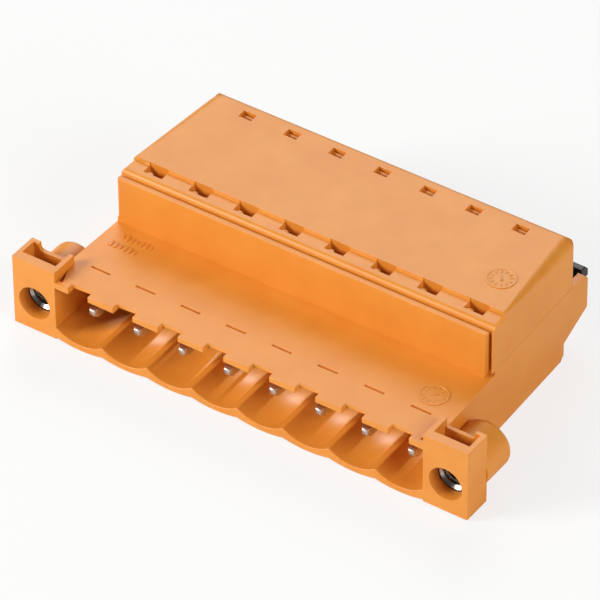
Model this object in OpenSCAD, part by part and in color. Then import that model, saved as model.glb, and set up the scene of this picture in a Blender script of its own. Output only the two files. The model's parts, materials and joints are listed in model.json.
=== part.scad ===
// Pluggable terminal block: an inverted eight-pole pin connector with spring
// clamps, release pushers at the wire side and a threaded nut in each flange.
// X runs across the poles, +Y from the mating face towards the wires, +Z up.

/* [Poles] */
// Distance from one pole to the next
pitch = 5.08; // [5:0.01:5.3]
// Width of the chamber that each pole has in the housing
chamber_w = 3.5; // [3.3:0.05:3.6]

/* [Body] */
// Width of the body beyond its pole cells, each side
side_margin = 0.8; // [0.7:0.01:1]
// How much each side draws in for every millimetre of depth
side_draft = 0.035; // [0:0.005:0.04]
// Depth of the lower housing from the mating face to its rear face
case_depth = 28.3; // [28:0.1:29.5]
// Height of the flat deck between the mating face and the step
deck_z = 7.15; // [7:0.05:7.4]
// Height of the seam where the cover sits on the lower housing
seam_z = 7.65; // [7.6:0.05:7.8]
// Length of the sloped underside at the rear
slope_len = 4.3; // [4:0.1:4.6]
// Height of the flat underside behind the shroud
belly_z = 0; // [0:0.05:0.15]
// Depth at which the step wall rises from the deck
step_y = 10.6; // [10.4:0.05:10.8]
// Thickness of the step wall
step_wall = 0.6; // [0.5:0.05:0.7]
// Height of the step wall's upper edge
step_top_z = 12.25; // [12:0.05:12.4]
// How far the right end of the step wall stays back from the side of the body
step_inset = 0.5; // [0.4:0.05:0.7]
// Thickness of the cover's cheek that laps the step wall's right end
cheek_t = 0.2; // [0.15:0.05:0.3]
// Gap between the step wall and the cover behind it
plate_gap = 0.15; // [0.1:0.05:0.25]

/* [Shroud] */
// Depth of the cavity around the pins
cavity_depth = 8.6; // [8:0.1:9]
// Thickness of the plate over the cavity
roof_plate = 0.8; // [0.7:0.05:1]
// Drop of the plate from the crease down to the mating face
plate_drop = 0.15; // [0.05:0.05:0.3]
// Depth of the crease where the plate meets the deck
crease_y = 3.6; // [3.4:0.1:4]
// Height of each bulge under the shroud
bulge = 0.3; // [0.2:0.05:0.4]
// Wall under the lowest line of each trough inside
trough_wall = 0.65; // [0.6:0.05:0.8]
// Depth of each trough inside, down from the ridges beside it
trough_depth = 0.85; // [0.6:0.05:1]
// Length of the wedge-shaped relief beside each flange
relief_len = 2.2; // [2:0.1:3]
// Width of that relief
relief_w = 0.65; // [0.4:0.05:0.8]
// Width of the coding notch in front of each pin
notch_w = 2.2; // [1.8:0.1:2.4]
// Depth of the coding notch
notch_depth = 0.75; // [0.5:0.05:1]
// Depth of the coding groove under the plate
groove_depth = 0.35; // [0.2:0.05:0.5]

/* [Flanges] */
// Distance from an outer pole to the screw axis of its flange
screw_offset = 5.08; // [5:0.01:5.3]
// Width of flange outside the screw axis
flange_out = 2.38; // [2.3:0.01:2.6]
// Width of flange inside the screw axis
flange_in = 2.42; // [2.4:0.01:2.45]
// Depth of the flange
flange_depth = 3.2; // [3.1:0.1:3.5]
// Height of the flange's underside
flange_z = 0.2; // [0.1:0.05:0.5]
// Height of the flange itself
flange_h = 7.9; // [7.6:0.05:8.1]
// Thickness of the flange's front wall
flange_front = 1; // [0.8:0.1:1.1]
// Height of the screw axes
screw_z = 3.4; // [3.2:0.05:3.5]
// Diameter of the screw hole in the front wall
screw_hole_d = 3.55; // [3.4:0.05:3.7]
// Width of the flange's outer wall beside the room behind the nut
corner_w = 1.05; // [0.8:0.05:1.1]
// Diameter of the round boss behind the flange
boss_d = 5.1; // [5:0.05:5.5]
// Length of the boss
boss_len = 4; // [3.6:0.1:4.4]

/* [Nuts] */
// Width across the flats of the square nut
nut_w = 3.7; // [3.6:0.05:3.75]
// Thickness of the wall that the nut pulls against
nut_wall = 1.45; // [1.3:0.05:1.5]
// Thickness of the nut
nut_t = 1.25; // [1.2:0.05:1.4]
// Diameter of the nut's threaded bore, at the crests
nut_bore = 2.5; // [2.4:0.05:2.8]
// Room around the nut in its pocket
nut_play = 0.05; // [0.03:0.01:0.08]

/* [Contacts] */
// Side of the square contact pin
pin_w = 1; // [0.9:0.05:1.1]
// Depth of the pin tip behind the mating face
pin_tip_y = 2.1; // [1.6:0.1:2.6]
// Height of the pin axes
pin_z = 3.1; // [2.9:0.05:3.2]
// Width of the contact's web and busbar
bus_w = 2.8; // [2.6:0.1:3]
// Thickness of the contact's sheet
sheet_t = 0.8; // [0.6:0.1:0.9]
// Room between the busbar and the roof of its chamber
bus_room = 0.15; // [0.1:0.05:0.25]
// How far the busbar's rear end stays in front of the cover's rear face
bus_setback = 4.5; // [4:0.1:6]

/* [Springs] */
// Thickness of the spring's strip
spring_t = 0.4; // [0.3:0.05:0.45]
// Width of the spring
spring_w = 2.6; // [2.4:0.1:2.9]
// Mean radius of the spring's bend
spring_r = 0.9; // [0.8:0.05:1]
// Distance from the centre of the spring's bend back to the housing's rear face
bend_back = 9.7; // [9.5:0.1:9.9]
// Reach of the clamping leg, as a share of the room between bend and web
bite_share = 0.61; // [0.5:0.01:0.65]

/* [Pushers] */
// Width of the pusher's play in its chamber, each side
pusher_play = 0.05; // [0.04:0.01:0.1]
// Travel of the pusher
stroke = 1.5; // [1.2:0.1:1.7]
// How far the head stands out of the housing
head_out = 1.05; // [0.9:0.05:1.2]
// Thickness of the head's lip
lip_t = 1.2; // [1:0.05:1.3]
// Height of the top of the lip
lip_z = 7.4; // [7.2:0.05:7.5]
// Height of the floor of the screwdriver rest before the lip
rest_z = 5.3; // [5.2:0.1:5.6]
// Height of the channel floor that the pusher slides on
floor_z = 3.9; // [3.85:0.05:4.1]
// Distance from the front of the pusher's foot to the housing's rear face
foot_back = 6.6; // [6.4:0.1:6.8]
// Length of the foot along the pusher
foot_len = 1; // [0.8:0.1:1.1]

/* [Cover] */
// Height of the cover's top
top_z = 13.15; // [13.1:0.05:13.5]
// Step down from the top to the strip along its front edge
strip_drop = 0.35; // [0.2:0.05:0.5]
// Depth of that strip
strip_depth = 1.9; // [1.7:0.1:2.1]
// How far the cover's rear face stays in front of the housing's rear face
cover_setback = 2.4; // [2.3:0.1:2.6]
// Radius of the cover's rear upper edge
rear_r = 0.6; // [0.4:0.05:1]
// Radius of the cover's upright rear corners
corner_r = 0.7; // [0.4:0.05:0.8]
// Radius of the cover's side edges along the strip and at its rear side
edge_front_r = 0.35; // [0.3:0.05:0.5]
// Radius that the side edges of the top reach at the rear
edge_rear_r = 1.4; // [1:0.05:1.5]
// Thickness of the cover over the chambers
cover_t = 1.5; // [1.4:0.05:1.6]
// Mouth diameter of a wire funnel
funnel_d = 3.5; // [3.3:0.1:3.5]
// Throat diameter of a wire funnel
throat_d = 2.7; // [2.5:0.1:2.8]
// Room between a funnel's mouth and the roof of its chamber, seen from behind
funnel_room = 0.05; // [0:0.05:0.1]
// Width of a test window over each pole
window_w = 2.1; // [1.9:0.1:2.2]
// Depth of a test window
window_d = 1.15; // [0.95:0.05:1.2]
// Length of a wire funnel
funnel_len = 2.4; // [2.2:0.1:2.6]
// Thickness of the cover's front wall before the chambers
front_wall = 0.85; // [0.7:0.05:1]
// Distance from a latch window's middle to the cover's rear face
latch_back = 1.75; // [1.7:0.05:1.9]
// Width of a latch window between two poles
latch_w = 1.45; // [1.3:0.05:1.5]
// Depth of a latch window
latch_d = 1; // [0.9:0.05:1.1]

/* [Hidden] */
poles = 8;

// Overshoot of cuts past the faces that they open
e = 0.1;
// Clearance between faces that must not share metal or plastic
gap = 0.05;
$fn = 48;

orange = "#F0963C";
black = "#1E1F21";
tin = "#C4C2BD";
steel = "#9C9EA0";

// Widths across the poles
half_front = poles * pitch / 2 + side_margin;
screw_x = (poles - 1) * pitch / 2 + screw_offset;
cavity_half = screw_x - flange_in;
flange_half = screw_x + flange_out;
first_x = -(poles - 1) * pitch / 2;

// Depths
total_depth = case_depth + head_out;
cover_depth = case_depth - cover_setback;
under_y = case_depth - slope_len;
shroud_len = cavity_depth + 1.2;
cover_y = step_y + step_wall + plate_gap;
chamber_y = cover_y + front_wall;
strip_y = cover_y + strip_depth;
wall_y = cover_depth - funnel_len;
latch_y = cover_depth - latch_back;
web_y = chamber_y + gap;
bend_y = case_depth - bend_back;
bite_y = bend_y - bite_share * (bend_y - web_y - sheet_t);
bus_end_y = cover_depth - bus_setback;
foot_y = case_depth - foot_back;

// Heights
strip_z = top_z - strip_drop;
roof_in_z = top_z - cover_t;
bus_z = roof_in_z - bus_room - sheet_t;
wire_z = roof_in_z - funnel_room - funnel_d / 2;
cavity_top_z = deck_z - roof_plate;
ridge_z = trough_wall + trough_depth;
slant_top_z = floor_z - 0.45;
slant_low_z = belly_z + 1.85;
flange_top_z = flange_z + flange_h;

// Widths of what slides or drops into the chambers
pusher_w = chamber_w - 2 * pusher_play;
pusher_z = floor_z + gap;
pusher_top_z = seam_z - 0.2;
nut_y = nut_wall + nut_play;
pocket_end = nut_y + nut_t + nut_play;
lead_z = screw_z + nut_w / 2 + 0.3;
pocket_w = nut_w + 2 * nut_play;

// Side of the body at a given depth
function side_x(y) = half_front - side_draft * y;

// Middle of pole i, counted from 0 at the left
function pole_x(i) = first_x + i * pitch;

// Radius of an arc that falls by sag over the width of a pole cell
function cell_r(sag) = (pitch * pitch / 4) / (2 * sag) + sag / 2;

// Points of an arc about c from angle a to angle b, in n steps
function arc(c, r, a, b, n) =
    [for (k = [0:n]) let (t = a + (b - a) * k / n) c + r * [cos(t), sin(t)]];

// Unit normal of a path at point k, to its left
function normal_at(p, k) =
    let (a = p[max(k - 1, 0)], b = p[min(k + 1, len(p) - 1)], d = b - a)
    [-d[1], d[0]] / norm(d);

// Outline of a strip of thickness t along a path
function strip_outline(p, t) = concat(
    [for (k = [0:len(p) - 1]) p[k] + normal_at(p, k) * t / 2],
    [for (k = [len(p) - 1:-1:0]) p[k] - normal_at(p, k) * t / 2]);

// Depths are counted from the mating face, and the part's own origin is
// under the middle of its depth
module from_mating_face() {
    translate([0, -total_depth / 2, 0]) children();
}

// An outline drawn in depth and height, extruded across X and centred
module profile(points, width) {
    rotate([90, 0, 90]) linear_extrude(width, center = true) polygon(points);
}

// A box given by its lowest and highest corners
module span(a, b) {
    translate(a) cube(b - a);
}

// A round bar along Y from depth a to depth b
module bar(x, z, r, a, b) {
    translate([x, a, z]) rotate([-90, 0, 0]) cylinder(r = r, h = b - a);
}

// Plan of the body, with the draft of its sides
module plan(height) {
    linear_extrude(height) polygon([
        [-side_x(-e), -e], [side_x(-e), -e],
        [side_x(case_depth + e), case_depth + e],
        [-side_x(case_depth + e), case_depth + e]]);
}

module at_poles() {
    for (i = [0:poles - 1]) translate([pole_x(i), 0, 0]) children();
}

module between_poles() {
    for (i = [0:poles - 2]) translate([pole_x(i) + pitch / 2, 0, 0]) children();
}

module both_sides() {
    children();
    mirror([1, 0, 0]) children();
}

// ---- Lower housing ----

// Side outline of the moulding, from the mating face to the guide block
module lower_outline() {
    profile([
        [0, bulge], [0, deck_z - plate_drop], [crease_y, deck_z],
        [step_y, deck_z], [step_y, seam_z],
        [case_depth - 0.85, seam_z], [case_depth, seam_z - 0.85],
        [case_depth, slant_top_z], [under_y, slant_low_z],
        [under_y, belly_z + 0.4], [under_y - 0.4, belly_z],
        [shroud_len, belly_z], [shroud_len, bulge]
    ], 4 * half_front);
}

// Round bulges under the shroud, one to each pole
module bulges() {
    intersection() {
        at_poles() bar(0, cell_r(bulge), cell_r(bulge), 0, shroud_len);
        span([-poles * pitch / 2, 0, 0], [poles * pitch / 2, shroud_len, bulge]);
    }
}

// Space around the pins, with its row of troughs and coding grooves
module cavity() {
    trough_r = cell_r(trough_depth);
    span([-cavity_half, -e, ridge_z], [cavity_half, cavity_depth, cavity_top_z]);
    intersection() {
        at_poles() bar(0, trough_wall + trough_r, trough_r, -e, cavity_depth);
        span([-poles * pitch / 2, -e, 0],
             [poles * pitch / 2, cavity_depth, ridge_z + e]);
    }
    at_poles() {
        span([-notch_w / 2, -e, cavity_top_z - e],
             [notch_w / 2, notch_depth, deck_z + e]);
        span([-notch_w / 2, -e, cavity_top_z - e],
             [notch_w / 2, crease_y + 0.25, cavity_top_z + groove_depth]);
        span([-notch_w / 2, crease_y, cavity_top_z],
             [notch_w / 2, crease_y + 0.25, deck_z + e]);
    }
}

// Wedge-shaped relief between the plate and the flange wall
module end_relief() {
    translate([cavity_half, 0, deck_z - 0.5]) linear_extrude(0.5 + e)
        polygon([[0, 0.45], [0, relief_len], [-relief_w, 0.45]]);
}

// Flange block with its round boss, on the right
module flange() {
    span([cavity_half, 0, flange_z], [flange_half, flange_depth, flange_top_z]);
    translate([screw_x, flange_depth - e, screw_z]) rotate([-90, 0, 0])
        rotate_extrude() polygon(concat(
            [[0, 0], [boss_d / 2, 0]],
            arc([boss_d / 2 - 0.5, e + boss_len - 0.5], 0.5, 0, 90, 6),
            [[0, e + boss_len]]));
}

// Screw hole, nut pocket and blind screw room in the right flange
module flange_cuts() {
    rear_top = flange_top_z - 0.8;
    r = 0.5;
    x0 = cavity_half + 0.5;
    x1 = flange_half - corner_w;
    bar(screw_x, screw_z, screw_hole_d / 2, -e, nut_wall + e);
    span([screw_x - pocket_w / 2, nut_wall, screw_z - nut_w / 2],
         [screw_x + pocket_w / 2, pocket_end, flange_top_z + e]);
    span([screw_x - pocket_w / 2, flange_front, lead_z],
         [screw_x + pocket_w / 2, pocket_end, flange_top_z + e]);
    bar(screw_x, screw_z, nut_bore / 2 + 0.35, pocket_end - e,
        flange_depth + boss_len - 0.7);
    translate([0, flange_depth + e, 0]) rotate([90, 0, 0])
        linear_extrude(flange_depth - pocket_end + 2 * e)
            polygon(concat([[x0, flange_top_z + e], [x0, rear_top]],
                arc([x1 - r, rear_top + r], r, -90, 0, 6),
                [[x1, flange_top_z + e]]));
}

// Thin wall that closes the front of the cover, flush with its left side
module step_plate() {
    r = 0.2;
    y1 = step_y + step_wall;
    left = -side_x(step_y) + 0.03;
    right = side_x(step_y) - step_inset;
    translate([0, 0, deck_z - e]) linear_extrude(step_top_z - deck_z + e)
        polygon(concat([[left, y1]],
            arc([left + r, step_y + r], r, 180, 270, 4),
            arc([right - r, step_y + r], r, 270, 360, 4), [[right, y1]]));
}

// Small relief under the right end of that wall
module step_relief() {
    span([side_x(step_y) - step_inset - 0.15, step_y - e, deck_z],
         [side_x(0), cover_y + gap, seam_z + e]);
}

// Chamber of one pole: pin channel, web pocket, spring room and pusher way
module lower_chamber() {
    pin_room = pin_w + 2 * gap;
    span([-chamber_w / 2, chamber_y, floor_z],
         [chamber_w / 2, case_depth + e, seam_z + e]);
    span([-pin_room / 2, cavity_depth - e, pin_z - pin_room / 2],
         [pin_room / 2, chamber_y + e, pin_z + pin_room / 2]);
    span([-chamber_w / 2, chamber_y, pin_z - pin_w / 2 - gap],
         [chamber_w / 2, web_y + sheet_t + gap, floor_z + e]);
    span([-foot_w() / 2 - pusher_play, foot_y - stroke - 0.1, floor_z - 0.75],
         [foot_w() / 2 + pusher_play, foot_y + foot_len + gap, floor_z + e]);
}

// Latch arm that reaches up into the cover between two poles
module latch_arm() {
    front = latch_y - latch_d / 2 + 0.25;
    rear = latch_y + latch_d / 2 - gap;
    arm_top = top_z - 0.3;
    profile([
        [front, seam_z - e], [front, arm_top - 0.4], [rear - 0.2, arm_top],
        [rear, arm_top - 0.1], [rear, seam_z - e]], latch_w - 2 * gap);
}

module lower_housing() {
    color(orange) from_mating_face() {
        difference() {
            union() {
                intersection() {
                    lower_outline();
                    plan(seam_z + e);
                }
                bulges();
                both_sides() flange();
                step_plate();
            }
            step_relief();
            cavity();
            both_sides() flange_cuts();
            both_sides() end_relief();
            at_poles() lower_chamber();
        }
        between_poles() latch_arm();
    }
}

// ---- Cover ----

// Side outline of the cover with its front strip and round rear edge
module cover_outline() {
    front_r = 0.5;
    profile(concat(
        [[cover_y, seam_z]],
        arc([cover_y + front_r, strip_z - front_r], front_r, 180, 90, 6),
        [[strip_y, strip_z], [strip_y + 0.1, top_z]],
        arc([cover_depth - rear_r, top_z - rear_r], rear_r, 90, 0, 10),
        [[cover_depth, seam_z]]), 4 * half_front);
}

// Plan of the cover, with its rear corners rounded
module cover_plan(height) {
    x = side_x(cover_depth);
    linear_extrude(height) polygon(concat(
        [[-side_x(0), 0], [side_x(0), 0]],
        arc([x - corner_r, cover_depth - corner_r], corner_r, 0, 90, 6),
        arc([corner_r - x, cover_depth - corner_r], corner_r, 90, 180, 6)));
}

// Cheek of the cover that laps the right end of the step wall
module cheek() {
    cheek_y = step_y + 0.4;
    translate([0, 0, seam_z]) linear_extrude(strip_z - 0.5 - seam_z)
        polygon([
            [side_x(cover_y + e) - cheek_t, cover_y + e],
            [side_x(cheek_y) - cheek_t, cheek_y + 0.1],
            [side_x(cheek_y) - 0.1, cheek_y], [side_x(cheek_y), cheek_y],
            [side_x(cover_y + e), cover_y + e]]);
}

// Cutter that rounds the right upper edge of the cover along the strip
module strip_edge_cutter() {
    r = edge_front_r;
    run = strip_y - cover_y + e;
    translate([side_x(cover_y - e), cover_y - e, strip_z])
        rotate([0, 0, atan(side_draft)]) rotate([90, 0, 180]) mirror([1, 0, 0])
            linear_extrude(run) polygon(concat([[e, e], [-r, e]],
                arc([-r, -r], r, 90, 0, 6), [[e, -r]]));
}

// Cutter that rounds the right edge of the top, more and more to the rear
module top_edge_cutter() {
    run = cover_depth - strip_y + e;
    grow = (edge_rear_r - edge_front_r) / (cover_depth - strip_y);
    ahead = edge_front_r / grow;
    dip = asin(grow / sqrt(1 + 2 * grow * grow));
    far = edge_front_r + grow * run;
    width = far + 1;
    axis = norm([1, grow, grow]);
    translate([side_x(strip_y), strip_y, top_z]) rotate([0, 0, atan(side_draft)])
        difference() {
            intersection() {
                translate([0, 0, -width]) linear_extrude(2 * width)
                    polygon([[-edge_front_r, 0], [-far, run], [e, run], [e, 0]]);
                rotate([90, 0, 90]) linear_extrude(2 * width, center = true)
                    polygon([[0, -edge_front_r], [run, -far], [run, e], [0, e]]);
            }
            translate([0, -ahead, 0]) rotate([-90 - dip, 0, atan(grow)])
                cylinder(r1 = 0, r2 = tan(dip) * axis * (ahead + run + 1),
                         h = axis * (ahead + run + 1));
        }
}

// Chamber over one pole, with its wire funnel and test window
module cover_chamber() {
    window_y = strip_y - 0.45;
    ramp = 0.45;
    nub = 0.35;
    flare = (funnel_d - throat_d) / (funnel_len + gap);
    span([-chamber_w / 2, chamber_y, seam_z - e],
         [chamber_w / 2, wall_y, roof_in_z]);
    translate([0, wall_y - gap, wire_z]) rotate([-90, 0, 0])
        cylinder(d1 = throat_d, d2 = funnel_d + flare * e,
                 h = funnel_len + gap + e);
    difference() {
        translate([0, window_y, 0]) rotate([90, 0, 0])
            linear_extrude(window_d, center = true) polygon([
                [-window_w / 2, top_z + e], [-window_w / 2, roof_in_z - e],
                [-nub, roof_in_z - e], [window_w / 2, strip_z - ramp],
                [window_w / 2, top_z + e]]);
        translate([-nub, window_y - window_d / 2, 0])
            cylinder(r = nub, h = strip_z - 0.1);
    }
}

// Window for a latch arm, open from the seam to the top
module latch_window() {
    span([-latch_w / 2, latch_y - latch_d / 2, seam_z - e],
         [latch_w / 2, latch_y + latch_d / 2, top_z + e]);
}

module cover() {
    color(orange) from_mating_face() difference() {
        union() {
            intersection() {
                cover_outline();
                cover_plan(top_z + e);
            }
            cheek();
        }
        both_sides() top_edge_cutter();
        both_sides() strip_edge_cutter();
        at_poles() cover_chamber();
        between_poles() latch_window();
    }
}

// ---- Contacts ----

// Square pin with a tapered tip, web and busbar, made from one sheet
module contact(number) {
    taper = 0.2;
    web = web_y + sheet_t / 2;
    bus = bus_z + sheet_t / 2;
    bend_r = 0.8;
    path = concat([[web, pin_z - pin_w / 2]],
        arc([web + bend_r, bus - bend_r], bend_r, 180, 90, 6),
        [[bus_end_y, bus]]);
    tip = [[pin_tip_y, taper - pin_w / 2], [pin_tip_y + 2 * taper, -pin_w / 2],
           [web, -pin_w / 2], [web, pin_w / 2],
           [pin_tip_y + 2 * taper, pin_w / 2], [pin_tip_y, pin_w / 2 - taper]];
    color(tin) from_mating_face() translate([pole_x(number - 1), 0, 0]) {
        intersection() {
            translate([0, 0, pin_z]) profile(tip, pin_w);
            linear_extrude(2 * pin_z)
                polygon([for (p = tip) [p[1], p[0]]]);
        }
        profile(strip_outline(path, sheet_t), bus_w);
    }
}

// ---- Clamping springs ----

// Leaf spring: foot against the web, lower leg, bend and clamping leg
module clamp_spring(number) {
    low_z = floor_z + gap + spring_t / 2;
    leg_y = web_y + sheet_t + 2 * gap + spring_t / 2;
    centre = [bend_y, low_z + spring_r];
    bite = [bite_y, bus_z - gap - spring_t / 2];
    lean = atan2(bite[1] - centre[1], bite[0] - centre[0]);
    leave = lean - acos(spring_r / norm(bite - centre));
    path = concat([[leg_y, low_z + 1.6]],
        arc([leg_y + 0.5, low_z + 0.5], 0.5, 180, 270, 4),
        arc(centre, spring_r, -90, leave, 12), [bite]);
    color(steel) from_mating_face() translate([pole_x(number - 1), 0, 0])
        profile(strip_outline(path, spring_t), spring_w);
}

// ---- Release pushers ----

// Width of that foot
function foot_w() = pusher_w - 1;

module pusher(number) {
    nose_y = bend_y + spring_r - 0.35;
    front_y = bend_y + spring_r + spring_t / 2 + stroke + 0.2;
    rear_y = case_depth + head_out;
    lip_y = rear_y - lip_t;
    rest_y = cover_depth - 0.2;
    color(black) from_mating_face() translate([pole_x(number - 1), 0, 0])
        difference() {
            union() {
                profile([
                    [front_y, pusher_z], [front_y, floor_z + 2],
                    [nose_y, floor_z + 2.5], [nose_y, floor_z + 3.1],
                    [front_y, pusher_top_z], [rest_y, pusher_top_z],
                    [rest_y + 0.5, rest_z], [lip_y, rest_z],
                    [lip_y, lip_z], [rear_y - 0.5, lip_z],
                    [rear_y, lip_z - 0.5], [rear_y, pusher_z]
                ], pusher_w);
                span([-foot_w() / 2, foot_y, floor_z - 0.65],
                     [foot_w() / 2, foot_y + foot_len, pusher_z + e]);
            }
            span([-pusher_w / 2 - e, rear_y - 0.5, rest_z - 0.15],
                 [pusher_w / 2 + e, rear_y + e, rest_z + 0.8]);
        }
}

// ---- Flange nuts ----

module flange_nut(side) {
    color(tin) from_mating_face() translate([side * screw_x, nut_y, screw_z])
        difference() {
            translate([-nut_w / 2, 0, -nut_w / 2]) cube([nut_w, nut_t, nut_w]);
            rotate([-90, 0, 0]) translate([0, 0, -e])
                cylinder(d = nut_bore, h = nut_t + 2 * e);
        }
}

lower_housing();
cover();
flange_nut(-1);  // flange_nut_left
flange_nut(1);  // flange_nut_right
contact(1);  // contact_1
contact(2);  // contact_2
contact(3);  // contact_3
contact(4);  // contact_4
contact(5);  // contact_5
contact(6);  // contact_6
contact(7);  // contact_7
contact(8);  // contact_8
clamp_spring(1);  // clamp_spring_1
clamp_spring(2);  // clamp_spring_2
clamp_spring(3);  // clamp_spring_3
clamp_spring(4);  // clamp_spring_4
clamp_spring(5);  // clamp_spring_5
clamp_spring(6);  // clamp_spring_6
clamp_spring(7);  // clamp_spring_7
clamp_spring(8);  // clamp_spring_8
pusher(1);  // pusher_1
pusher(2);  // pusher_2
pusher(3);  // pusher_3
pusher(4);  // pusher_4
pusher(5);  // pusher_5
pusher(6);  // pusher_6
pusher(7);  // pusher_7
pusher(8);  // pusher_8
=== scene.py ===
import json
import math

import bpy
from mathutils import Matrix, Vector

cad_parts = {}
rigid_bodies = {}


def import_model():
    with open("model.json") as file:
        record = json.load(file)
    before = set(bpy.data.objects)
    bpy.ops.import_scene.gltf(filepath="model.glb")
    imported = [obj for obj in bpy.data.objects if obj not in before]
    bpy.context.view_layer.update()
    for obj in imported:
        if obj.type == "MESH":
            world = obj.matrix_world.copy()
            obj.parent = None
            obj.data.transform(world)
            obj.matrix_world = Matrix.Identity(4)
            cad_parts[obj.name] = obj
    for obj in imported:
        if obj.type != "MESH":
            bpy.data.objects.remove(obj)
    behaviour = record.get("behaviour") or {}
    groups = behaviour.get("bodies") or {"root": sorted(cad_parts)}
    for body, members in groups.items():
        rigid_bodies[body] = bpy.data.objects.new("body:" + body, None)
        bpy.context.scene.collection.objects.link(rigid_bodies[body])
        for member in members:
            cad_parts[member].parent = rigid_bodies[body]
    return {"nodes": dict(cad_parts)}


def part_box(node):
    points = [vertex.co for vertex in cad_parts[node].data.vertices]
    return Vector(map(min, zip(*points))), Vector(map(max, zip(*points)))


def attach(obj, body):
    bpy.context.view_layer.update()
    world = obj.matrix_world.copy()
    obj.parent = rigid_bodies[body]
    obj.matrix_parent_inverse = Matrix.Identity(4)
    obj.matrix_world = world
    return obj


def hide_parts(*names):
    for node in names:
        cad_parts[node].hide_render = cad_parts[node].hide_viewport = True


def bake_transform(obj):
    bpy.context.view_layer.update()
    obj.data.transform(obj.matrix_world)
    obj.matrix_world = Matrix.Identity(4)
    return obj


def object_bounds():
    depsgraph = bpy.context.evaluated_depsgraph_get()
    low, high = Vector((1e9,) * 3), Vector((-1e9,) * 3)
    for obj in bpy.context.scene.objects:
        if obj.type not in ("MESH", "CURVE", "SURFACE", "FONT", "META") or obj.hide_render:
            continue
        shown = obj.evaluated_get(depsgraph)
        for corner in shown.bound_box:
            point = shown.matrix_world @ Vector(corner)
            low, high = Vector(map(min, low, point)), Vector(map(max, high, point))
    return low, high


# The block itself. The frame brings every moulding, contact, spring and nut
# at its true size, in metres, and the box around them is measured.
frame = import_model()
cad_low, cad_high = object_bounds()
mm = 0.001
face_y = cad_low.y


def put(x, y, z):
    """A place given in millimetres, its depth counted from the mating face."""
    return Vector((x * mm, face_y + y * mm, z * mm))


# Camera. It looks down on the mating face from the right, from far away
# through a long lens, so the sides of the block stay almost parallel.
view_azimuth = 34.647
view_height = 39.806
view_roll = -0.607
view_distance = 576.447 * mm
view_target = put(-1.093, 12.0, 5.567)
view_lens = 373.63
sensor_width = 36
nearest = 0.01
farthest = 20

azimuth, rise, roll = (math.radians(t) for t in (view_azimuth, view_height, view_roll))
back = Vector((math.sin(azimuth) * math.cos(rise), -math.cos(azimuth) * math.cos(rise), math.sin(rise)))
level = Vector((math.cos(azimuth), math.sin(azimuth), 0))
right = math.cos(roll) * level + math.sin(roll) * back.cross(level)
up = back.cross(right)
bpy.ops.object.camera_add(location=view_target + back * view_distance)
camera = bpy.context.object
camera.name = "studio_camera"
camera.rotation_euler = Matrix((right, up, back)).transposed().to_euler()
camera.data.sensor_width = sensor_width
camera.data.lens = view_lens
camera.data.clip_start = nearest
camera.data.clip_end = farthest
bpy.context.scene.camera = camera


# Lower housing. One moulding of orange polyamide holds the shroud, the screw
# flanges and the deck. Its edges leave the mould a little soft, most of all
# the lips of the troughs and the ridges between them.
orange_face = "#E99637"
orange_deep = "#E38D2E"
sharp_angle = math.radians(32)
smooth_angle = math.radians(34)

# Where its edges lie, in millimetres: across from the middle, back from the
# mating face, and up from the underside.
flange_inner = 20.4
flange_start = flange_inner - 0.05
flange_depth = 3.3
flange_top = 8.15
shroud_reach = flange_inner + 0.1
shroud_front = 0.02
ridge_low = 1.4
ridge_high = 1.6
ridge_reach = 18
ridge_length = 2
plate_front = 0.8
plate_low = 6.2
plate_reach = 20.3
step_front = 10.5
step_rear = 11.3
step_low = 12.2
foot_high = 0.45
foot_front = 9.9
rear_front = 27.2
rear_inner = 19.8


def colour(code):
    """An sRGB hex value as the linear colour that a shader takes."""
    parts = [int(code[i:i + 2], 16) / 255 for i in (1, 3, 5)]
    return [p / 12.92 if p <= 0.04045 else ((p + 0.055) / 1.055) ** 2.4 for p in parts] + [1]


def add_node(material, kind, inputs=(), links=(), **settings):
    """Adds one shader node with its settings, its input values and its links."""
    node = material.node_tree.nodes.new(kind)
    for name, value in settings.items():
        setattr(node, name, value)
    for name, value in dict(inputs).items():
        node.inputs[name].default_value = value
    for name, (source, output) in dict(links).items():
        material.node_tree.links.new(source.outputs[output], node.inputs[name])
    return node


def new_material(name):
    """An empty node material."""
    material = bpy.data.materials.new(name)
    material.use_nodes = True
    material.node_tree.nodes.clear()
    return material


def set_ramp(node, stops):
    """Gives a colour ramp its stops, as pairs of place and colour."""
    ramp = node.color_ramp
    while len(ramp.elements) > len(stops):
        ramp.elements.remove(ramp.elements[-1])
    while len(ramp.elements) < len(stops):
        ramp.elements.new(1)
    for element, (place, value) in zip(ramp.elements, stops):
        element.position = place
        element.color = value


def cells(size):
    """A pattern's scale, in cells to the metre and round tens, from a cell's size in millimetres."""
    return round(1 / (size * mm), -1)


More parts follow.
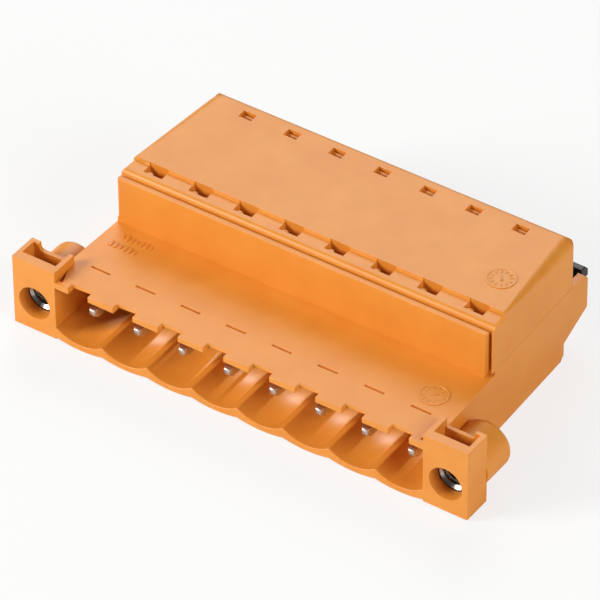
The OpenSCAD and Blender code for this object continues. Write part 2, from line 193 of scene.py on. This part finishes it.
def moulded_plastic(name, face, deep, rough, through):
    """Injection-moulded polyamide, from a spark-eroded mould.

    The eye gets a soft satin sheen from the fine grain, a colour that is
    never quite even where the melt flowed, and a little depth at thin edges."""
    m = new_material(name)
    place = add_node(m, "ShaderNodeTexCoord")
    # Flow clouds, about 4 mm across
    cloud = add_node(m, "ShaderNodeTexNoise", {"Scale": cells(3.85), "Detail": 3, "Roughness": 0.55},
                     {"Vector": (place, "Object")})
    tint = add_node(m, "ShaderNodeValToRGB", (), {"Fac": (cloud, "Fac")})
    set_ramp(tint, [(0.3, colour(deep)), (0.7, colour(face))])
    # Spark-eroded grain, drawn coarser than it is so that it shows
    fine = add_node(m, "ShaderNodeTexNoise", {"Scale": cells(0.125), "Detail": 2, "Roughness": 0.6},
                    {"Vector": (place, "Object")})
    # Faint sink and tool marks, about 1 mm across
    broad = add_node(m, "ShaderNodeTexNoise", {"Scale": cells(1.11), "Detail": 2},
                     {"Vector": (place, "Object")})
    satin = add_node(m, "ShaderNodeMapRange", {"To Min": rough - 0.05, "To Max": rough + 0.07},
                     {"Value": (fine, "Fac")})
    grain = add_node(m, "ShaderNodeBump", {"Strength": 0.3, "Distance": 0.006 * mm},
                     {"Height": (fine, "Fac")})
    waves = add_node(m, "ShaderNodeBump", {"Strength": 0.25, "Distance": 0.012 * mm},
                     {"Height": (broad, "Fac"), "Normal": (grain, "Normal")})
    shader = add_node(m, "ShaderNodeBsdfPrincipled",
                      {"IOR": 1.53, "Subsurface Weight": through,
                       "Subsurface Radius": (1, 0.4, 0.15), "Subsurface Scale": 0.35 * mm},
                      {"Base Color": (tint, "Color"), "Roughness": (satin, "Result"),
                       "Normal": (waves, "Normal")})
    add_node(m, "ShaderNodeOutputMaterial", (), {"Surface": (shader, "BSDF")})
    return m


def choose(piece):
    """Makes a piece the only selected object, and the active one."""
    bpy.ops.object.select_all(action="DESELECT")
    piece.select_set(True)
    bpy.context.view_layer.objects.active = piece


def take_solid(node):
    """A merged copy of a frame solid, its flat faces whole again."""
    choose(frame["nodes"][node])
    bpy.ops.object.duplicate()
    piece = bpy.context.object
    piece.name = node + "_piece"
    bpy.ops.object.mode_set(mode="EDIT")
    bpy.ops.mesh.select_mode(type="EDGE")
    bpy.ops.mesh.select_all(action="SELECT")
    bpy.ops.mesh.remove_doubles(threshold=0.002 * mm)
    bpy.ops.mesh.dissolve_limited(angle_limit=math.radians(1))
    bpy.ops.object.mode_set(mode="OBJECT")
    return piece


def round_edges(piece, width, where, segments=2):
    """Rounds the sharp edges whose two ends, in millimetres, lie where the test says."""
    choose(piece)
    bpy.ops.object.mode_set(mode="EDIT")
    bpy.ops.mesh.select_all(action="DESELECT")
    bpy.ops.mesh.edges_select_sharp(sharpness=sharp_angle)
    bpy.ops.object.mode_set(mode="OBJECT")
    mesh = piece.data
    ends = [Vector((v.co.x / mm, (v.co.y - face_y) / mm, v.co.z / mm)) for v in mesh.vertices]
    keep = [edge.index for edge in mesh.edges
            if edge.select and where(*(ends[corner] for corner in edge.vertices))]
    mesh.vertices.foreach_set("select", [False] * len(mesh.vertices))
    mesh.polygons.foreach_set("select", [False] * len(mesh.polygons))
    mesh.edges.foreach_set("select", [False] * len(mesh.edges))
    for index in keep:
        mesh.edges[index].select = True
        for corner in mesh.edges[index].vertices:
            mesh.vertices[corner].select = True
    bpy.ops.object.mode_set(mode="EDIT")
    bpy.ops.mesh.bevel(offset=width, segments=segments, affect="EDGES",
                       clamp_overlap=True, miter_outer="SHARP")
    bpy.ops.object.mode_set(mode="OBJECT")


def even_shading(piece):
    """Smooths the rounds, and keeps the flat faces flat to the eye."""
    choose(piece)
    bpy.ops.object.shade_smooth_by_angle(angle=smooth_angle)
    bpy.ops.object.modifier_add(type="WEIGHTED_NORMAL")
    weigh = piece.modifiers[-1]
    weigh.keep_sharp = True
    weigh.weight = 100
    bpy.ops.object.modifier_apply(modifier=weigh.name)


def finish_piece(piece, material, node, body):
    """Gives a piece its material, hides the solid that it stands for, if any, and hangs it on its body,
    if any.
    """
    piece.data.materials.clear()
    piece.data.materials.append(material)
    if node:
        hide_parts(node)
    if body:
        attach(piece, body)


def on_shroud_front(a, b):
    """The rims of the troughs and bulges in the mating face."""
    return max(a.y, b.y) < shroud_front and max(abs(a.x), abs(b.x)) < shroud_reach \
        and max(a.z, b.z) < ridge_high


def on_ridges(a, b):
    """The ridges that run back between two troughs."""
    straight = abs(a.x - b.x) < 0.01 and abs(a.y - b.y) > ridge_length
    return straight and ridge_low < a.z < ridge_high and abs(a.x) < ridge_reach


def on_flanges(a, b):
    """The outer edges of the flange blocks and the rims in them."""
    return min(abs(a.x), abs(b.x)) > flange_start and max(a.y, b.y) < flange_depth \
        and max(a.z, b.z) < flange_top


def on_plate(a, b):
    """The notched front edge of the plate over the pins."""
    return max(a.y, b.y) < plate_front and min(a.z, b.z) > plate_low \
        and max(abs(a.x), abs(b.x)) < plate_reach


def on_step(a, b):
    """The edges of the step wall."""
    return min(a.y, b.y) > step_front and max(a.y, b.y) < step_rear and min(a.z, b.z) > step_low


def on_body(a, b):
    """The long lower and rear edges of the body."""
    low = max(a.z, b.z) < foot_high and min(a.y, b.y) > foot_front
    rear = min(a.y, b.y) > rear_front and min(abs(a.x), abs(b.x)) > rear_inner
    return low or rear


orange = moulded_plastic("orange_polyamide_moulded", orange_face, orange_deep, 0.42, 0.12)
housing = take_solid("lower_housing")
for where, width, segments in (
    (on_shroud_front, 0.14 * mm, 3),
    (on_ridges, 0.16 * mm, 3),
    (on_flanges, 0.1 * mm, 2),
    (on_plate, 0.08 * mm, 2),
    (on_step, 0.08 * mm, 2),
    (on_body, 0.1 * mm, 2),
):
    round_edges(housing, width, where, segments)
even_shading(housing)
finish_piece(housing, orange, "lower_housing", "housing")


# Cover. The second orange moulding closes the pole chambers. It snaps over
# the latch arms, and carries the wire funnels and the test windows.
top_height = 13.15
window_depth = 0.4
window_reach = 19.2
window_edge = 0.07 * mm
funnel_front = 25.88
funnel_top = 11.8
funnel_reach = 19.7
funnel_edge = 0.1 * mm


def on_windows(a, b):
    """The rims of the windows in the top and in the strip before it."""
    inside = max(abs(a.x), abs(b.x)) < window_reach
    return inside and min(a.z, b.z) > top_height - window_depth and abs(a.z - b.z) < window_depth


def on_funnels(a, b):
    """The mouths of the wire funnels."""
    return min(a.y, b.y) > funnel_front and max(a.z, b.z) < funnel_top \
        and max(abs(a.x), abs(b.x)) < funnel_reach


cover = take_solid("cover")
round_edges(cover, window_edge, on_windows)
round_edges(cover, funnel_edge, on_funnels)
even_shading(cover)
finish_piece(cover, orange, "cover", "housing")


# Contacts. Each is stamped and bent from tin-plated copper sheet, and its
# square pin shows in the shroud. Tin is a soft, slightly milky silver.
poles = 8
contact_edge = 0.06 * mm


def sheet_metal(name, bright, dull, rough, grain, along):
    """Plated or bare sheet: soft silver, with faint marks from the tool or the rolls."""
    m = new_material(name)
    place = add_node(m, "ShaderNodeTexCoord")
    stretch = add_node(m, "ShaderNodeMapping", {"Scale": along}, {"Vector": (place, "Object")})
    marks = add_node(m, "ShaderNodeTexNoise", {"Scale": cells(grain), "Detail": 3},
                     {"Vector": (stretch, "Vector")})
    tint = add_node(m, "ShaderNodeValToRGB", (), {"Fac": (marks, "Fac")})
    set_ramp(tint, [(0.35, colour(dull)), (0.65, colour(bright))])
    satin = add_node(m, "ShaderNodeMapRange", {"To Min": rough - 0.06, "To Max": rough + 0.08},
                     {"Value": (marks, "Fac")})
    bump = add_node(m, "ShaderNodeBump", {"Strength": 0.25, "Distance": 0.004 * mm},
                    {"Height": (marks, "Fac")})
    shader = add_node(m, "ShaderNodeBsdfPrincipled", {"Metallic": 1},
                      {"Base Color": (tint, "Color"), "Roughness": (satin, "Result"),
                       "Normal": (bump, "Normal")})
    add_node(m, "ShaderNodeOutputMaterial", (), {"Surface": (shader, "BSDF")})
    return m


def anywhere(a, b):
    """Every sharp edge of a small stamped or moulded piece."""
    return True


# The drawing marks are 0.17 mm wide and run along the pin
tin = sheet_metal("tin_plated_copper", "#DCDAD6", "#C4C2BD", 0.34, 0.1667, (1, 0.08, 1))
for i in range(1, poles + 1):
    contact = take_solid(f"contact_{i}")
    round_edges(contact, contact_edge, anywhere)
    even_shading(contact)
    finish_piece(contact, tin, f"contact_{i}", "housing")


# Clamping springs. Each is bent from rolled stainless strip, and its long leg
# presses the wire against the busbar. In the real block its front stays still
# and the bend at its rear gives way with the pusher; here each spring stays as it is.
spring_edge = 0.04 * mm

# The rolling marks are 0.2 mm wide
strip = sheet_metal("rolled_spring_steel", "#B5B7B9", "#97999C", 0.34, 0.2, (1, 0.1, 0.1))
for i in range(1, poles + 1):
    spring = take_solid(f"clamp_spring_{i}")
    round_edges(spring, spring_edge, anywhere, 1)
    even_shading(spring)
    # The spring hangs on no body, and its place goes into its mesh
    bpy.ops.object.parent_clear(type="CLEAR_KEEP_TRANSFORM")
    finish_piece(spring, strip, f"clamp_spring_{i}", None)
    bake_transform(spring)


# Flange nuts. A square nut of tinned brass drops into each flange. Its M3
# thread runs right through, with a countersink at both ends.
nut_edge = 0.1 * mm
thread_pitch = 0.5 * mm
crest_r = 1.25 * mm
root_r = 1.52 * mm
sink_r = 1.62 * mm
overrun = 0.2 * mm
turn_steps = 16
tap_sides = 48
sink_sides = 64


def cut_away(piece, tool):
    """Takes one closed shape out of another, and throws the tool away."""
    choose(piece)
    bpy.ops.object.modifier_add(type="BOOLEAN")
    cut = piece.modifiers[-1]
    cut.operation = "DIFFERENCE"
    cut.solver = "EXACT"
    cut.object = tool
    bpy.ops.object.modifier_apply(modifier=cut.name)
    bpy.data.objects.remove(tool, do_unlink=True)


def thread_tap(axis_x, axis_z, start_y, length):
    """The shape that a tap leaves: a cam-shaped outline, pulled in a screw."""
    bpy.ops.mesh.primitive_circle_add(
        vertices=tap_sides, radius=crest_r, fill_type="NGON", location=(axis_x, start_y, axis_z),
        rotation=(math.radians(90), 0, 0))
    tap = bpy.context.object
    bpy.ops.object.transform_apply(location=True, rotation=True, scale=True)
    centre = Vector((axis_x, start_y, axis_z))
    for corner in tap.data.vertices:
        arm = corner.co - centre
        turn = (math.atan2(arm.z, arm.x) / math.tau) % 1
        lift = 1 - abs(2 * turn - 1)
        corner.co = centre + arm.normalized() * (crest_r + (root_r - crest_r) * lift)
    bpy.ops.object.mode_set(mode="EDIT")
    bpy.ops.mesh.select_all(action="SELECT")
    for _ in range(math.ceil(length / thread_pitch * turn_steps)):
        bpy.ops.mesh.extrude_region_move(
            TRANSFORM_OT_translate={"value": (0, thread_pitch / turn_steps, 0)})
        bpy.ops.transform.rotate(value=math.tau / turn_steps, orient_axis="Y",
                                 center_override=(axis_x, start_y, axis_z))
    bpy.ops.mesh.select_all(action="SELECT")
    bpy.ops.mesh.normals_make_consistent(inside=False)
    bpy.ops.object.mode_set(mode="OBJECT")
    return tap


# Plain tumbled tin, with soft spots 0.2 mm across
nut_metal = sheet_metal("tin_plated_brass", "#C9C7C2", "#A8A6A1", 0.26, 0.2, (1, 1, 1))
for side in ("left", "right"):
    node = "flange_nut_" + side
    low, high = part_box(node)
    middle = (Vector(low) + Vector(high)) / 2
    size = Vector(high) - Vector(low)
    bpy.ops.mesh.primitive_cube_add(size=1, location=middle, scale=size)
    nut = bpy.context.object
    nut.name = node + "_piece"
    bpy.ops.object.transform_apply(location=True, rotation=True, scale=True)
    bpy.ops.object.mode_set(mode="EDIT")
    bpy.ops.mesh.bevel(offset=nut_edge, segments=2, affect="EDGES")
    bpy.ops.object.mode_set(mode="OBJECT")
    cut_away(nut, thread_tap(middle.x, middle.z, low[1] - overrun, size.y + 2 * overrun))
    cone = sink_r + overrun
    for end_y, outward in ((low[1], -1), (high[1], 1)):
        bpy.ops.mesh.primitive_cone_add(
            vertices=sink_sides, radius1=cone, radius2=0, depth=cone,
            location=(middle.x, end_y + outward * (overrun - cone / 2), middle.z),
            rotation=(math.radians(90) * outward, 0, 0))
        sink = bpy.context.object
        bpy.ops.object.transform_apply(location=True, rotation=True, scale=True)
        cut_away(nut, sink)
    choose(nut)
    bpy.ops.object.shade_smooth_by_angle(angle=sharp_angle)
    finish_piece(nut, nut_metal, node, "housing")


# Release pushers. Black polyamide slides, one to each pole. The head stands
# out at the wire side, with a lip and a rest for the screwdriver's blade.
pusher_edge = 0.12 * mm
black = moulded_plastic("black_polyamide_moulded", "#27282A", "#1C1D1F", 0.4, 0)
for i in range(1, poles + 1):
    pusher = take_solid(f"pusher_{i}")
    round_edges(pusher, pusher_edge, anywhere)
    even_shading(pusher)
    finish_piece(pusher, black, f"pusher_{i}", f"push_{i}")


# Moulded marks. The mould leaves a dial on the deck and one on the cover,
# with ticks and a pointer, and two rows of small bars on the deck. They stand
# up from the same moulding by a few hundredths of a millimetre.
deck_height = 7.15
relief = 0.07 * mm
root = 0.02 * mm
bar_edge = 0.02 * mm
dial_r = 1.45 * mm
dial_sides = 64
rim = 0.16 * mm
rim_slope = 0.03 * mm
ticks = 12
tick_ring = 0.66
tick_size = (0.34 * mm, 0.13 * mm, relief)
hand_size = (0.8 * mm, 0.16 * mm, relief)
tip_size = (0.26 * mm, 0.26 * mm, relief)
tip_reach = 0.3 * mm
bar_step = 0.52
tall_bar = 0.8
short_bar = 0.5


def tool_bar(x, y, z, size, turn=0):
    """One raised bar of a mark, turned about its own middle."""
    bpy.ops.mesh.primitive_cube_add(size=1, location=(x, y, z), scale=size)
    bar = bpy.context.object
    bar.rotation_euler = (0, 0, turn)
    bpy.ops.object.transform_apply(location=True, rotation=True, scale=True)
    bpy.ops.object.mode_set(mode="EDIT")
    bpy.ops.mesh.bevel(offset=bar_edge, segments=2, affect="EDGES")
    bpy.ops.object.mode_set(mode="OBJECT")
    return bar


def join_mark(bars, name):
    """Joins the parts of one mark into one piece, and finishes it."""
    bpy.ops.object.select_all(action="DESELECT")
    for bar in bars:
        bar.select_set(True)
    bpy.context.view_layer.objects.active = bars[0]
    bpy.ops.object.join()
    mark = bpy.context.object
    mark.name = name
    bpy.ops.object.shade_smooth_by_angle(angle=sharp_angle)
    finish_piece(mark, orange, None, "housing")


def dial_plate(centre):
    """A flat disc with a raised rim, its root sunk in the moulding."""
    bpy.ops.mesh.primitive_cylinder_add(vertices=dial_sides, radius=dial_r, depth=relief + root,
                                        location=centre + Vector((0, 0, (relief - root) / 2)))
    plate = bpy.context.object
    bpy.ops.object.transform_apply(location=True, rotation=True, scale=True)
    bpy.ops.object.mode_set(mode="EDIT")
    bpy.ops.mesh.select_all(action="DESELECT")
    bpy.ops.object.mode_set(mode="OBJECT")
    for face in plate.data.polygons:
        face.select = face.normal.z > 0.9
    bpy.ops.object.mode_set(mode="EDIT")
    bpy.ops.mesh.select_mode(type="FACE")
    bpy.ops.mesh.inset(thickness=rim)
    bpy.ops.mesh.inset(thickness=rim_slope, depth=root - relief)
    bpy.ops.mesh.select_mode(type="EDGE")
    bpy.ops.object.mode_set(mode="OBJECT")
    return plate


for name, centre, pointer in (("deck_dial", put(17.63, 6.06, deck_height), 0.6),
                              ("cover_dial", put(17.6, 17.2, top_height), -0.9)):
    bars = [dial_plate(centre)]
    z = centre.z + relief / 2
    for tick in range(ticks):
        turn = tick / ticks * math.tau
        out = Vector((math.cos(turn), math.sin(turn), 0)) * tick_ring * dial_r
        bars.append(tool_bar(centre.x + out.x, centre.y + out.y, z, tick_size, turn))
    bars.append(tool_bar(centre.x, centre.y, z, hand_size, pointer))
    bars.append(tool_bar(centre.x + tip_reach * math.cos(pointer),
                         centre.y + tip_reach * math.sin(pointer), z, tip_size,
                         pointer + math.pi / 4))
    join_mark(bars, name)

for row, (start, y, count, wide) in enumerate(((-18.9, 8.9, 7, 0.22), (-19.3, 7.5, 6, 0.3))):
    bars = []
    for i in range(count):
        spot = put(start + i * bar_step, y, deck_height)
        tall = tall_bar if (i + row) % 3 else short_bar
        bars.append(tool_bar(spot.x, spot.y, spot.z + relief / 2,
                             (wide * mm, tall * mm, relief + root)))
    join_mark(bars, f"deck_bars_{row + 1}")


# Studio. A pale table and a pale room. One softbox behind and above lays a
# sheen on the flat tops, one in front on the left looks into the shroud, and
# a weak one on the right fills the side.
table_size = 3
table_gap = 0.02 * mm
paper_white = "#F4F4F2"
glow_share = 0.75
sky_strength = 0.08

bpy.ops.mesh.primitive_plane_add(size=table_size, location=(0, 0, cad_low.z - table_gap))
table = bpy.context.object
table.name = "studio_table"
paper = new_material("white_studio_paper")
path = add_node(paper, "ShaderNodeLightPath")
diffuse = add_node(paper, "ShaderNodeBsdfDiffuse", {"Color": colour(paper_white)})
glow = add_node(paper, "ShaderNodeEmission", {"Color": (1, 1, 1, 1), "Strength": 1})
share = add_node(paper, "ShaderNodeMath", {1: glow_share}, {0: (path, "Is Camera Ray")},
                 operation="MULTIPLY")
blend = add_node(paper, "ShaderNodeMixShader", (),
                 {0: (share, "Value"), 1: (diffuse, "BSDF"), 2: (glow, "Emission")})
add_node(paper, "ShaderNodeOutputMaterial", (), {"Surface": (blend, "Shader")})
table.data.materials.append(paper)

# Each lamp's name, its place and width in metres, and its power in watts
for name, place, size, power in (
    ("rear_softbox", (-0.26, 0.38, 0.4), 0.34, 1.45),
    ("front_softbox", (-0.36, -0.38, 0.24), 0.2, 3.05),
    ("right_fill", (0.5, -0.1, 0.3), 0.3, 2.0),
):
    bpy.ops.object.light_add(type="AREA", location=place)
    lamp = bpy.context.object
    lamp.name = name
    lamp.data.shape = "SQUARE"
    lamp.data.size = size
    lamp.data.energy = power
    lamp.rotation_euler = (Vector((0, 0, 0)) - Vector(place)).to_track_quat("-Z", "Y").to_euler()

sky = bpy.data.worlds.new("even_sky")
sky.use_nodes = True
bpy.context.scene.world = sky
air = sky.node_tree.nodes["Background"]
air.inputs["Color"].default_value = (1, 1, 1, 1)
air.inputs["Strength"].default_value = sky_strength
bpy.context.scene.view_settings.view_transform = "Standard"
